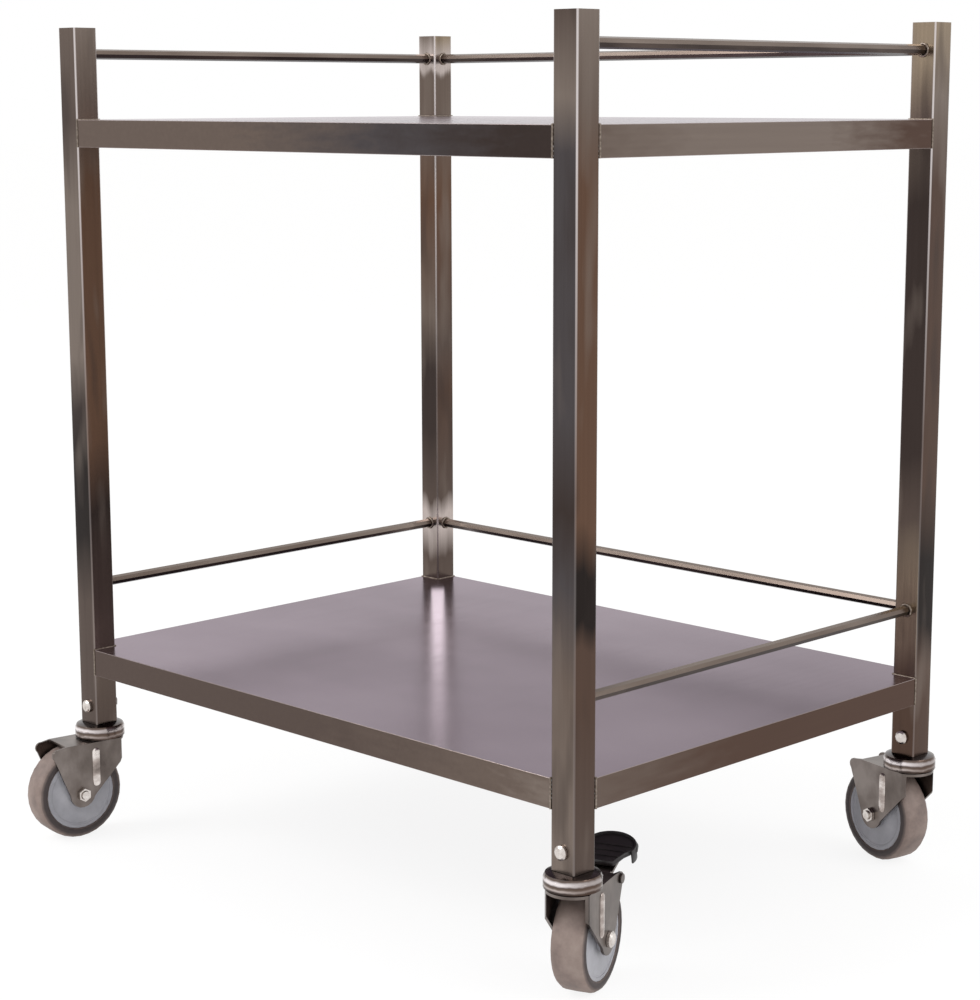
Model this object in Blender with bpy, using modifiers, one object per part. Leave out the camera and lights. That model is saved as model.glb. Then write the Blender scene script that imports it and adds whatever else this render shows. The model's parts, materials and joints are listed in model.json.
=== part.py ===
# Instrument trolley: four square-tube posts, two folded trays, round guard rods on three
# sides of each tray, and four swivel castors bolted into the posts, two of them braked.
# Origin on the floor under the middle of the frame, +X along the trays, +Y to the back.
import math

import bmesh
import bpy
from mathutils import Matrix, Vector

# Frame
LENGTH = 0.660
WIDTH = 0.490
POST_SIZE = 0.0254
POST_WALL = 0.0012
POST_CORNER = 0.002
POST_LENGTH = 0.669
CAP_PLATE = 0.0015
CAP_SKIRT = 0.010
CAP_WALL = 0.0015

# Trays
TRAY_SHEET = 0.0012
TRAY_RIM = 0.0254
TRAY_LIP = 0.012
LOWER_TRAY_RISE = 0.050
UPPER_TRAY_DROP = 0.110
CHANNEL_WIDTH = 0.060
CHANNEL_FLANGE = 0.012
CHANNEL_DEPTH = 0.016
CHANNEL_SHEET = 0.0012
CHANNEL_END_GAP = 0.004

# Guard rods
ROD_DIAMETER = 0.0095
LOWER_ROD_RISE = 0.138
UPPER_ROD_DROP = 0.024

# Castors
WHEEL_RADIUS = 0.045
WHEEL_CLEARANCE = 0.0025
TYRE_WIDTH = 0.030
TYRE_DEPTH = 0.0095
TYRE_SHOULDER = 0.006
TYRE_FLANK_STEP = 0.002
TYRE_BEAD = 0.001
TYRE_STEPS = 32
CASTOR_TRAIL = 0.030
HUB_BORE = 0.0062
HUB_BOSS_RADIUS = 0.011
HUB_BOSS_WIDTH = 0.033
HUB_WEB = 0.012
HUB_DRAFT = 0.001
HUB_FACE_DROP = 0.0015
HUB_RIM_WALL = 0.003
HUB_STEPS = 26
HOUSING_RADIUS = 0.024
HOUSING_WALL = 0.002
HOUSING_HEIGHT = 0.0135
HOUSING_DOME = 0.003
HOUSING_STEPS = 24
KING_PIN_RADIUS = 0.005
KING_HEAD_RADIUS = 0.0075
KING_HEAD_DEPTH = 0.002
KING_HEAD_CHAMFER = 0.001
RACE_LAND = 0.003
RACE_GROOVE = 0.0015
RACE_ROUND = 0.001
RACE_STEPS = 20
FORK_SHEET = 0.0025
FORK_AXLE_RADIUS = 0.0135
FORK_FRONT = 0.0225
FORK_CHEEK = 0.012
CROWN_BRAKE_GAP = 0.0055
EAR_RADIUS = 0.0055
AXLE_RADIUS = 0.004
AXLE_HEAD_RADIUS = 0.0068
AXLE_HEAD_DEPTH = 0.004
AXLE_THREAD = 0.002
HEAD_WALL_SHARE = 0.6
HEAD_CROWN_SHARE = 0.72

# Castor stem and its cross bolt
STEM_LENGTH = 0.038
STEM_CHAMFER = 0.002
BOLT_RISE = 0.017
BOLT_RADIUS = 0.003
BOLT_HEAD_RADIUS = 0.0062
BOLT_HEAD_DEPTH = 0.0035
BOLT_NUT_DEPTH = 0.005
BOLT_THREAD = 0.002

# Brake
BRAKE_PIN_ANGLE = 59.0
BRAKE_PIN_CLEARANCE = 0.0052
BRAKE_PIN_RADIUS = 0.0025
BRAKE_PIN_HEAD = 0.0042
BRAKE_PIN_HEAD_DEPTH = 0.0015
BRAKE_SWING = 18.0
BRAKE_KNUCKLE = 0.0042
BRAKE_NOSE_SPREAD = 12.0
BRAKE_NOSE_ROOT = 25.0
BRAKE_WIDTH = 0.020
BRAKE_BLADE = 0.0025
BRAKE_BLADE_LENGTH = 0.026
PEDAL_TILT = 22.0
PEDAL_START = 0.009
PEDAL_LENGTH = 0.040
PEDAL_ROOT_WIDTH = 0.018
PEDAL_TIP_WIDTH = 0.046
PEDAL_THICKNESS = 0.005
PEDAL_EDGE = 0.0015
PEDAL_SHOULDER_SHARE = 0.55
PEDAL_FLARE_SHARE = 0.35
PEDAL_TOE_STEPS = 8

# Clearances
SEAT_GAP = 0.0003
RUNNING_GAP = 0.0015
HOLE_GAP = 0.0004

# Places worked out from the sizes above
CROWN_FOOT = 2 * WHEEL_RADIUS + WHEEL_CLEARANCE
CROWN_TOP = CROWN_FOOT + FORK_SHEET
HOUSING_FOOT = CROWN_TOP + RUNNING_GAP
HOUSING_TOP = HOUSING_FOOT + HOUSING_HEIGHT
HOUSING_CEILING = HOUSING_TOP - HOUSING_WALL - HOUSING_DOME
POST_FOOT = HOUSING_TOP + SEAT_GAP
POST_TOP = POST_FOOT + POST_LENGTH
POST_X = (LENGTH - POST_SIZE) / 2
POST_Y = (WIDTH - POST_SIZE) / 2
TUBE_BORE = POST_SIZE - 2 * POST_WALL
STEM_RADIUS = TUBE_BORE / 2 - SEAT_GAP
FORK_INSIDE = max(TYRE_WIDTH, HUB_BOSS_WIDTH) / 2 + SEAT_GAP
FORK_OUTSIDE = FORK_INSIDE + FORK_SHEET
BOLT_HEIGHT = POST_FOOT + BOLT_RISE
BRAKE_PIN_OUT = WHEEL_RADIUS + BRAKE_PIN_CLEARANCE
BRAKE_PIN_X = CASTOR_TRAIL + BRAKE_PIN_OUT * math.cos(math.radians(BRAKE_PIN_ANGLE))
BRAKE_PIN_Z = WHEEL_RADIUS + BRAKE_PIN_OUT * math.sin(math.radians(BRAKE_PIN_ANGLE))
BRAKE_REACH = BRAKE_PIN_CLEARANCE - SEAT_GAP
BRAKE_LINE = BRAKE_PIN_ANGLE - 180
CROWN_REAR = BRAKE_PIN_X - BRAKE_KNUCKLE - CROWN_BRAKE_GAP
LEVELS = {
    "lower": (POST_FOOT + LOWER_TRAY_RISE, POST_FOOT + LOWER_ROD_RISE),
    "upper": (POST_TOP - UPPER_TRAY_DROP, POST_TOP - UPPER_ROD_DROP),
}

CORNERS = {
    "front_left": (-1, -1, 262.0, False),
    "front_right": (1, -1, 110.0, True),
    "back_left": (-1, 1, 45.0, True),
    "back_right": (1, 1, 167.0, False),
}
STEEL = ("satin_stainless", (0.42, 0.37, 0.34, 1), 0.28, 1.0)
TRAY_STEEL = ("tray_stainless", (0.50, 0.46, 0.50, 1), 0.32, 1.0)
ZINC = ("plated_steel", (0.55, 0.53, 0.52, 1), 0.30, 1.0)
TREAD = ("grey_tread", (0.33, 0.28, 0.25, 1), 0.70, 0.0)
HUB_PLASTIC = ("hub_plastic", (0.42, 0.42, 0.45, 1), 0.45, 0.0)
PEDAL_PLASTIC = ("black_plastic", (0.02, 0.018, 0.02, 1), 0.40, 0.0)


def clear_scene():
    for item in list(bpy.data.objects):
        bpy.data.objects.remove(item, do_unlink=True)


def make_collection(name):
    group = bpy.data.collections.new(name)
    bpy.context.scene.collection.children.link(group)
    return group


clear_scene()
PARTS = make_collection("instrument_trolley")
CUTTERS = make_collection("cutters")


def material(finish):
    name, colour, roughness, metallic = finish
    found = bpy.data.materials.get(name)
    if found:
        return found
    made = bpy.data.materials.new(name)
    made.use_nodes = True
    shader = made.node_tree.nodes["Principled BSDF"]
    shader.inputs["Base Color"].default_value = colour
    shader.inputs["Roughness"].default_value = roughness
    shader.inputs["Metallic"].default_value = metallic
    made.diffuse_color = colour
    return made


def add_part(name, mesh, finish, parent=None, place=(0, 0, 0), turn=(0, 0, 0)):
    item = bpy.data.objects.new(name, mesh)
    PARTS.objects.link(item)
    if finish:
        mesh.materials.clear()
        mesh.materials.append(material(finish))
    item.location = place
    item.rotation_euler = turn
    item.parent = parent
    return item


def add_cutter(name, mesh, parent=None, place=(0, 0, 0), turn=(0, 0, 0)):
    item = bpy.data.objects.new(name, mesh)
    CUTTERS.objects.link(item)
    item.location = place
    item.rotation_euler = turn
    item.parent = parent
    item.hide_render = True
    item.display_type = "WIRE"
    return item


def cut(item, cutter, operation="DIFFERENCE"):
    step = item.modifiers.new("cut_" + cutter.name, "BOOLEAN")
    step.operation = operation
    step.solver = "EXACT"
    step.object = cutter


def bevel(item, width, segments=2, angle=40.0):
    step = item.modifiers.new("rounded_edges", "BEVEL")
    step.width = width
    step.segments = segments
    step.limit_method = "ANGLE"
    step.angle_limit = math.radians(angle)
    return step


def mesh_from(builder):
    shell = bmesh.new()
    builder(shell)
    bmesh.ops.recalc_face_normals(shell, faces=shell.faces)
    mesh = bpy.data.meshes.new("shape")
    shell.to_mesh(mesh)
    shell.free()
    return mesh


def box_mesh(size, centre=(0, 0, 0)):
    def build(shell):
        place = Matrix.Translation(Vector(centre)) @ Matrix.Diagonal((*size, 1))
        bmesh.ops.create_cube(shell, size=1.0, matrix=place)
    return mesh_from(build)


def rod_mesh(radius, depth, axis="Z", sides=16):
    turn = {"Z": Matrix(), "X": Matrix.Rotation(math.pi / 2, 4, "Y"), "Y": Matrix.Rotation(math.pi / 2, 4, "X")}

    def build(shell):
        bmesh.ops.create_cone(shell, cap_ends=True, segments=sides, radius1=radius, radius2=radius,
                              depth=depth, matrix=turn[axis])
    return mesh_from(build)


def turned_mesh(profile, steps, axis="Z"):
    """A closed solid turned from a profile of (radius, height) points, top to bottom."""
    mesh = bpy.data.meshes.new("profile")
    points = [(radius, 0.0, height) for radius, height in profile]
    closed = profile[0][0] > 0
    count = len(points)
    edges = [(i, (i + 1) % count) for i in range(count if closed else count - 1)]
    mesh.from_pydata(points, edges, [])
    holder = bpy.data.objects.new("turning", mesh)
    CUTTERS.objects.link(holder)
    step = holder.modifiers.new("turn", "SCREW")
    step.steps = steps
    step.render_steps = steps
    step.use_merge_vertices = True
    step.merge_threshold = 0.00001
    bpy.context.view_layer.update()
    graph = bpy.context.evaluated_depsgraph_get()
    made = bpy.data.meshes.new_from_object(holder.evaluated_get(graph))
    bpy.data.objects.remove(holder, do_unlink=True)
    shell = bmesh.new()
    shell.from_mesh(made)
    bmesh.ops.remove_doubles(shell, verts=shell.verts, dist=0.00001)
    bmesh.ops.recalc_face_normals(shell, faces=shell.faces)
    if axis == "Y":
        bmesh.ops.rotate(shell, verts=shell.verts, matrix=Matrix.Rotation(-math.pi / 2, 3, "X"))
    shell.to_mesh(made)
    shell.free()
    made.shade_smooth()
    made.set_sharp_from_angle(angle=math.radians(35))
    return made


def outline_mesh(points, thickness, axis="Y"):
    """A flat outline in XZ (axis Y) or XY (axis Z), extruded evenly about its own plane."""
    curve = bpy.data.curves.new("outline", "CURVE")
    curve.dimensions = "2D"
    curve.fill_mode = "BOTH"
    curve.extrude = thickness / 2
    spline = curve.splines.new("POLY")
    spline.points.add(len(points) - 1)
    for knot, (across, along) in zip(spline.points, points):
        knot.co = (across, along, 0, 1)
    spline.use_cyclic_u = True
    holder = bpy.data.objects.new("outline", curve)
    CUTTERS.objects.link(holder)
    bpy.context.view_layer.update()
    graph = bpy.context.evaluated_depsgraph_get()
    made = bpy.data.meshes.new_from_object(holder.evaluated_get(graph))
    bpy.data.objects.remove(holder, do_unlink=True)
    shell = bmesh.new()
    shell.from_mesh(made)
    bmesh.ops.remove_doubles(shell, verts=shell.verts, dist=0.00001)
    if axis == "Y":
        bmesh.ops.rotate(shell, verts=shell.verts, matrix=Matrix.Rotation(math.pi / 2, 3, "X"))
    bmesh.ops.recalc_face_normals(shell, faces=shell.faces)
    shell.to_mesh(made)
    shell.free()
    return made


def arc(centre_x, centre_z, radius, start, end, steps):
    """Points along an arc, in degrees, both ends included."""
    points = []
    for i in range(steps + 1):
        angle = math.radians(start + (end - start) * i / steps)
        points.append((centre_x + radius * math.cos(angle), centre_z + radius * math.sin(angle)))
    return points


def baked(item):
    """The object's evaluated mesh, in place of its modifiers."""
    bpy.context.view_layer.update()
    graph = bpy.context.evaluated_depsgraph_get()
    made = bpy.data.meshes.new_from_object(item.evaluated_get(graph))
    item.modifiers.clear()
    item.data = made
    return item


def make_post_mesh():
    """A square tube with rounded corners, drilled across near its foot."""
    blank = add_part("post_blank", box_mesh((POST_SIZE, POST_SIZE, POST_LENGTH)), STEEL)
    rounded = bevel(blank, POST_CORNER, 3)
    rounded.affect = "EDGES"
    rounded.limit_method = "WEIGHT"
    weights = blank.data.attributes.new("bevel_weight_edge", "FLOAT", "EDGE")
    for edge in blank.data.edges:
        ends = [blank.data.vertices[i].co for i in edge.vertices]
        weights.data[edge.index].value = 1.0 if abs(ends[0].z - ends[1].z) > POST_SIZE else 0.0
    bore = add_cutter("post_bore", box_mesh((TUBE_BORE, TUBE_BORE, POST_LENGTH * 1.1)))
    hole = add_cutter("post_hole", rod_mesh(BOLT_RADIUS + HOLE_GAP, POST_SIZE * 2, "Y"))
    hole.location.z = BOLT_RISE - POST_LENGTH / 2
    cut(blank, bore)
    cut(blank, hole)
    baked(blank)
    made = blank.data
    bpy.data.objects.remove(blank, do_unlink=True)
    return made


def make_posts():
    shape = make_post_mesh()
    for corner, (side, depth, angle, braked) in CORNERS.items():
        place = (side * POST_X, depth * POST_Y, POST_FOOT + POST_LENGTH / 2)
        add_part("post_" + corner, shape.copy(), STEEL, place=place)


def make_caps():
    """A flush square cap: a plate over the tube's bore with a skirt pressed down inside it."""
    size = TUBE_BORE - 2 * SEAT_GAP
    for corner, (side, depth, angle, braked) in CORNERS.items():
        place = (side * POST_X, depth * POST_Y, POST_TOP - CAP_SKIRT / 2)
        cap = add_part("post_cap_" + corner, box_mesh((size, size, CAP_SKIRT)), STEEL, place=place)
        inside = size - 2 * CAP_WALL
        pocket = add_cutter("cap_pocket_" + corner, box_mesh((inside, inside, CAP_SKIRT)), cap)
        pocket.location.z = -CAP_PLATE
        cut(cap, pocket)


def tray_walls(shell, top):
    """The open sheet of a tray: its top, its turned-down rims and their return lips."""
    half_x = LENGTH / 2
    half_y = WIDTH / 2
    notch = POST_SIZE + SEAT_GAP
    inner_x = half_x - notch
    inner_y = half_y - notch
    outline = [(-inner_x, -half_y), (inner_x, -half_y), (inner_x, -inner_y), (half_x, -inner_y),
               (half_x, inner_y), (inner_x, inner_y), (inner_x, half_y), (-inner_x, half_y),
               (-inner_x, inner_y), (-half_x, inner_y), (-half_x, -inner_y), (-inner_x, -inner_y)]
    corners = [shell.verts.new((x, y, top)) for x, y in outline]
    sheet = shell.faces.new(corners)
    for first in (0, 3, 6, 9):
        a, b = corners[first], corners[(first + 1) % len(corners)]
        inward = Vector((-(a.co.x + b.co.x), -(a.co.y + b.co.y), 0)).normalized()
        low = [shell.verts.new(v.co + Vector((0, 0, -TRAY_RIM))) for v in (a, b)]
        shell.faces.new((b, a, low[0], low[1]))
        lip = [shell.verts.new(v.co + inward * TRAY_LIP) for v in low]
        shell.faces.new((low[1], low[0], lip[0], lip[1]))
    return sheet


def make_tray(name, foot):
    top = foot + TRAY_RIM

    def build(shell):
        tray_walls(shell, top)
    tray = add_part(name, mesh_from(build), TRAY_STEEL)
    up = max(tray.data.polygons, key=lambda face: face.area)
    wall = tray.modifiers.new("sheet", "SOLIDIFY")
    wall.thickness = TRAY_SHEET
    wall.offset = -1.0 if up.normal.z > 0 else 1.0
    wall.use_even_offset = True
    return tray


def make_channel(name, foot):
    """A hat channel under the tray, welded along it to keep the sheet flat."""
    top = foot + TRAY_RIM - TRAY_SHEET - SEAT_GAP
    reach = LENGTH - 2 * (TRAY_LIP + CHANNEL_END_GAP)
    half = CHANNEL_WIDTH / 2
    crown = half - CHANNEL_FLANGE
    section = [(-half, 0), (-crown, 0), (-crown, -CHANNEL_DEPTH), (crown, -CHANNEL_DEPTH), (crown, 0), (half, 0)]

    def build(shell):
        ends = []
        for x in (-reach / 2, reach / 2):
            ends.append([shell.verts.new((x, y, top + z)) for y, z in section])
        for i in range(len(section) - 1):
            shell.faces.new((ends[0][i], ends[1][i], ends[1][i + 1], ends[0][i + 1]))
    channel = add_part(name, mesh_from(build), STEEL)
    up = max(channel.data.polygons, key=lambda face: face.center.z)
    wall = channel.modifiers.new("sheet", "SOLIDIFY")
    wall.thickness = CHANNEL_SHEET
    wall.offset = -1.0 if up.normal.z > 0 else 1.0
    wall.use_even_offset = True
    return channel


def make_guard_rod(name, start, end):
    """A straight round rod welded between the faces of two posts."""
    curve = bpy.data.curves.new(name, "CURVE")
    curve.dimensions = "3D"
    curve.bevel_depth = ROD_DIAMETER / 2
    curve.bevel_resolution = 2
    curve.use_fill_caps = True
    spline = curve.splines.new("POLY")
    spline.points.add(1)
    spline.points[0].co = (*start, 1)
    spline.points[1].co = (*end, 1)
    curve.materials.append(material(STEEL))
    rod = bpy.data.objects.new(name, curve)
    PARTS.objects.link(rod)
    return rod


def make_guard_rods():
    inner_x = POST_X - POST_SIZE / 2 - SEAT_GAP
    inner_y = POST_Y - POST_SIZE / 2 - SEAT_GAP
    for level, (foot, z) in LEVELS.items():
        for side, x in (("left", -POST_X), ("right", POST_X)):
            make_guard_rod("guard_rod_" + level + "_" + side, (x, -inner_y, z), (x, inner_y, z))
        make_guard_rod("guard_rod_" + level + "_back", (-inner_x, POST_Y, z), (inner_x, POST_Y, z))


def make_stem(corner, pivot):
    """The castor's fixed half: stem, domed housing, king pin and its riveted head in one turned piece."""
    top = POST_FOOT + STEM_LENGTH
    shoulder = STEM_RADIUS - STEM_CHAMFER
    inner = HOUSING_RADIUS - HOUSING_WALL
    ceiling = HOUSING_CEILING
    head_top = CROWN_FOOT - SEAT_GAP
    profile = [(0, top), (shoulder, top), (STEM_RADIUS, top - STEM_CHAMFER), (STEM_RADIUS, HOUSING_TOP),
               (HOUSING_RADIUS - 2 * HOUSING_DOME, HOUSING_TOP),
               (HOUSING_RADIUS - HOUSING_DOME / 2, HOUSING_TOP - HOUSING_DOME / 2),
               (HOUSING_RADIUS, HOUSING_TOP - HOUSING_DOME * 3 / 2), (HOUSING_RADIUS, HOUSING_FOOT),
               (inner, HOUSING_FOOT), (inner, ceiling), (KING_PIN_RADIUS, ceiling),
               (KING_PIN_RADIUS, head_top), (KING_HEAD_RADIUS, head_top),
               (KING_HEAD_RADIUS - KING_HEAD_CHAMFER, head_top - KING_HEAD_DEPTH), (0, head_top - KING_HEAD_DEPTH)]
    stem = add_part("castor_stem_" + corner, turned_mesh(profile, HOUSING_STEPS), ZINC, place=(*pivot, 0))
    hole = add_cutter("stem_hole_" + corner, rod_mesh(BOLT_RADIUS + HOLE_GAP, POST_SIZE * 2, "Y"), stem)
    hole.location.z = BOLT_HEIGHT
    cut(stem, hole)


def make_stem_bolt(corner, pivot):
    """The cross bolt that holds a castor's stem in its post, and its nut on the far face."""
    reach = POST_SIZE / 2 + SEAT_GAP
    nut_end = reach + BOLT_NUT_DEPTH
    profile = [(0, nut_end + BOLT_THREAD), (BOLT_RADIUS, nut_end + BOLT_THREAD), (BOLT_RADIUS, -reach),
               (BOLT_HEAD_RADIUS, -reach), (BOLT_HEAD_RADIUS, -reach - BOLT_HEAD_DEPTH * HEAD_WALL_SHARE),
               (BOLT_HEAD_RADIUS * HEAD_CROWN_SHARE, -reach - BOLT_HEAD_DEPTH), (0, -reach - BOLT_HEAD_DEPTH)]
    add_part("stem_bolt_" + corner, turned_mesh(profile, 14, "Y"), ZINC, place=(*pivot, BOLT_HEIGHT))
    make_nut("stem_nut_" + corner, BOLT_RADIUS, BOLT_HEAD_RADIUS, BOLT_NUT_DEPTH, None,
             (pivot[0], pivot[1] + reach + BOLT_NUT_DEPTH / 2, BOLT_HEIGHT))


def make_nut(name, bore, radius, depth, parent, place):
    nut = add_part(name, rod_mesh(radius, depth, "Y", 6), ZINC, parent, place)
    hole = add_cutter(name + "_bore", rod_mesh(bore + SEAT_GAP, depth * 2, "Y", 14), nut)
    cut(nut, hole)
    return nut


def fork_side_points():
    """The side of the fork in XZ: flat crown, front cheek, round axle end and the ear behind."""
    front = -FORK_FRONT - RUNNING_GAP
    end = arc(CASTOR_TRAIL, WHEEL_RADIUS, FORK_AXLE_RADIUS, -165, 0, 9)
    ear = arc(BRAKE_PIN_X, BRAKE_PIN_Z, EAR_RADIUS, -50, 100, 6)
    return [(front, CROWN_TOP), (front, CROWN_TOP - FORK_CHEEK)] + end + ear + [(CROWN_REAR, CROWN_TOP)]


def crown_points():
    """The fork from above in XY, round about the king pin."""
    rear = BRAKE_PIN_X + EAR_RADIUS + RUNNING_GAP
    return [(rear, -FORK_FRONT), (rear, FORK_FRONT)] + arc(0, 0, FORK_FRONT, 90, 270, 12)


def wheel_space_points():
    """The space pressed out between the legs in XZ, open behind the crown for the brake."""
    reach = BRAKE_PIN_X + FORK_FRONT
    high = CROWN_TOP + FORK_FRONT
    return [(-reach, -FORK_FRONT), (reach, -FORK_FRONT), (reach, high), (CROWN_REAR, high),
            (CROWN_REAR, CROWN_FOOT), (-reach, CROWN_FOOT)]


def make_fork(corner, swivel, braked):
    """A pressed fork: the side and the plan crossed, then hollowed for the wheel and drilled."""
    height = BRAKE_PIN_Z + EAR_RADIUS + RUNNING_GAP
    body = add_part("fork_" + corner, outline_mesh(fork_side_points(), FORK_OUTSIDE * 2), ZINC, swivel)
    plan = add_cutter("fork_plan_" + corner, outline_mesh(crown_points(), height, "Z"), swivel)
    plan.location.z = height / 2
    cut(body, plan, "INTERSECT")
    space = add_cutter("fork_space_" + corner, outline_mesh(wheel_space_points(), FORK_INSIDE * 2), swivel)
    cut(body, space)
    drill(body, swivel, "king_hole_" + corner, KING_PIN_RADIUS + HOLE_GAP, (0, 0, CROWN_FOOT), "Z")
    drill(body, swivel, "axle_hole_" + corner, AXLE_RADIUS + SEAT_GAP, (CASTOR_TRAIL, 0, WHEEL_RADIUS), "Y")
    if braked:
        place = (BRAKE_PIN_X, 0, BRAKE_PIN_Z)
        drill(body, swivel, "brake_hole_" + corner, BRAKE_PIN_RADIUS + SEAT_GAP, place, "Y")
    return body


def drill(body, parent, name, radius, place, axis):
    depth = FORK_OUTSIDE * 3 if axis == "Y" else FORK_CHEEK
    hole = add_cutter(name, rod_mesh(radius, depth, axis, 14), parent, place)
    cut(body, hole)


def make_race(corner, swivel):
    """The ball race that turns with the fork, riding up inside the housing."""
    foot = CROWN_TOP + SEAT_GAP
    outer = HOUSING_RADIUS - HOUSING_WALL - RUNNING_GAP
    inner = KING_PIN_RADIUS + HOLE_GAP
    top = HOUSING_CEILING - SEAT_GAP
    waist = (foot + top) / 2
    profile = [(inner, top), (outer - RACE_LAND, top), (outer, waist + RACE_ROUND),
               (outer - RACE_GROOVE, waist), (outer, waist - RACE_ROUND), (outer, foot), (inner, foot)]
    add_part("ball_race_" + corner, turned_mesh(profile, RACE_STEPS), ZINC, swivel)


def make_wheel(corner, wheel):
    """Tyre and hub, turned about the axle."""
    half = TYRE_WIDTH / 2
    bore = WHEEL_RADIUS - TYRE_DEPTH
    side = [(bore, half - TYRE_BEAD), (bore + TYRE_FLANK_STEP, half)]
    side += arc(WHEEL_RADIUS - TYRE_SHOULDER, half - TYRE_SHOULDER, TYRE_SHOULDER, 90, 15, 2)
    tyre = side + [(WHEEL_RADIUS, 0)] + [(radius, -height) for radius, height in reversed(side)]
    add_part("tyre_" + corner, turned_mesh(tyre, TYRE_STEPS, "Y"), TREAD, wheel)
    rim = bore - SEAT_GAP
    dish = rim - HUB_RIM_WALL
    face = half - HUB_FACE_DROP
    web = HUB_WEB / 2
    boss = HUB_BOSS_WIDTH / 2
    hub = [(HUB_BORE, boss), (HUB_BOSS_RADIUS - HUB_DRAFT, boss), (HUB_BOSS_RADIUS, web),
           (dish - HUB_DRAFT, web), (dish, face), (rim, face)]
    hub += [(radius, -height) for radius, height in reversed(hub)]
    add_part("hub_" + corner, turned_mesh(hub, HUB_STEPS, "Y"), HUB_PLASTIC, wheel)


def make_axle(corner, swivel):
    """The axle bolt through fork and hub, and its nut."""
    reach = FORK_OUTSIDE + SEAT_GAP
    end = reach + AXLE_HEAD_DEPTH
    profile = [(0, end + AXLE_THREAD), (AXLE_RADIUS, end + AXLE_THREAD), (AXLE_RADIUS, -reach),
               (AXLE_HEAD_RADIUS, -reach), (AXLE_HEAD_RADIUS, -reach - AXLE_HEAD_DEPTH * HEAD_WALL_SHARE),
               (AXLE_HEAD_RADIUS * HEAD_CROWN_SHARE, -reach - AXLE_HEAD_DEPTH), (0, -reach - AXLE_HEAD_DEPTH)]
    place = (CASTOR_TRAIL, 0, WHEEL_RADIUS)
    add_part("axle_bolt_" + corner, turned_mesh(profile, 16, "Y"), ZINC, swivel, place)
    nut_place = (CASTOR_TRAIL, reach + AXLE_HEAD_DEPTH / 2, WHEEL_RADIUS)
    make_nut("axle_nut_" + corner, AXLE_RADIUS, AXLE_HEAD_RADIUS, AXLE_HEAD_DEPTH, swivel, nut_place)


def brake_lever_points():
    """The lever in XZ about its pin: knuckle, blade under the pedal and the nose that meets the tyre."""
    tilt = PEDAL_TILT
    along = Vector((math.cos(math.radians(tilt)), math.sin(math.radians(tilt))))
    up = Vector((-along.y, along.x))
    half = BRAKE_BLADE / 2
    tip = [along * BRAKE_BLADE_LENGTH + up * half, along * BRAKE_BLADE_LENGTH - up * half]
    spread = math.degrees(math.asin(half / BRAKE_KNUCKLE))
    nose = BRAKE_LINE + BRAKE_SWING
    under = arc(0, 0, BRAKE_KNUCKLE, tilt - spread, nose + BRAKE_NOSE_ROOT, 5)
    over = arc(0, 0, BRAKE_KNUCKLE, nose - BRAKE_NOSE_ROOT, tilt + spread - 360, 9)
    face = arc(0, 0, BRAKE_REACH, nose + BRAKE_NOSE_SPREAD, nose - BRAKE_NOSE_SPREAD, 3)
    return [tuple(point) for point in tip] + under + face + over


def pedal_points():
    """The pedal's fan from above: narrow at the lever, wide and round at the toe."""
    root = PEDAL_ROOT_WIDTH / 2
    tip = PEDAL_TIP_WIDTH / 2
    shoulder = PEDAL_LENGTH * PEDAL_SHOULDER_SHARE
    right = [(0, -root), (shoulder / 2, -root - (tip - root) * PEDAL_FLARE_SHARE), (shoulder, -tip)]
    toe = []
    for i in range(1, PEDAL_TOE_STEPS):
        angle = math.radians(180 * i / PEDAL_TOE_STEPS - 90)
        toe.append((shoulder + (PEDAL_LENGTH - shoulder) * math.cos(angle), tip * math.sin(angle)))
    left = [(x, -y) for x, y in reversed(right)]
    return right + toe + left


def make_brake(corner, swivel):
    """Lever, pedal and pivot pin behind the crown of a braked fork."""
    pin_at = (BRAKE_PIN_X, 0, BRAKE_PIN_Z)
    pivot = empty("brake_axis_" + corner, pin_at, 0, swivel)
    lever = add_part("brake_lever_" + corner, outline_mesh(brake_lever_points(), BRAKE_WIDTH), ZINC, pivot)
    bore = add_cutter("brake_bore_" + corner, rod_mesh(BRAKE_PIN_RADIUS + SEAT_GAP, BRAKE_WIDTH * 2, "Y", 14), pivot)
    cut(lever, bore)
    pedal = add_part("brake_pedal_" + corner, outline_mesh(pedal_points(), PEDAL_THICKNESS, "Z"),
                     PEDAL_PLASTIC, pivot)
    tilt = math.radians(PEDAL_TILT)
    lift = (BRAKE_BLADE + PEDAL_THICKNESS) / 2 + SEAT_GAP
    pedal.rotation_euler = (0, -tilt, 0)
    pedal.location = (PEDAL_START * math.cos(tilt) - lift * math.sin(tilt), 0,
                      PEDAL_START * math.sin(tilt) + lift * math.cos(tilt))
    bevel(pedal, PEDAL_EDGE, 1, 60)
    reach = FORK_OUTSIDE + SEAT_GAP
    end = reach + BRAKE_PIN_HEAD_DEPTH
    profile = [(0, end), (BRAKE_PIN_RADIUS, end), (BRAKE_PIN_RADIUS, -reach), (BRAKE_PIN_HEAD, -reach),
               (BRAKE_PIN_HEAD, -end), (0, -end)]
    add_part("brake_pin_" + corner, turned_mesh(profile, 14, "Y"), ZINC, swivel, pin_at)


def empty(name, place, turn=0.0, parent=None):
    holder = bpy.data.objects.new(name, None)
    PARTS.objects.link(holder)
    holder.location = place
    holder.rotation_euler = (0, 0, math.radians(turn))
    holder.parent = parent
    return holder


def make_castor(corner, side, depth, angle, braked):
    pivot = (side * POST_X, depth * POST_Y)
    make_stem(corner, pivot)
    make_stem_bolt(corner, pivot)
    swivel = empty("swivel_axis_" + corner, (*pivot, 0), angle)
    wheel = empty("wheel_axis_" + corner, (CASTOR_TRAIL, 0, WHEEL_RADIUS), 0, swivel)
    make_fork(corner, swivel, braked)
    make_race(corner, swivel)
    make_axle(corner, swivel)
    make_wheel(corner, wheel)
    if braked:
        make_brake(corner, swivel)


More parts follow.
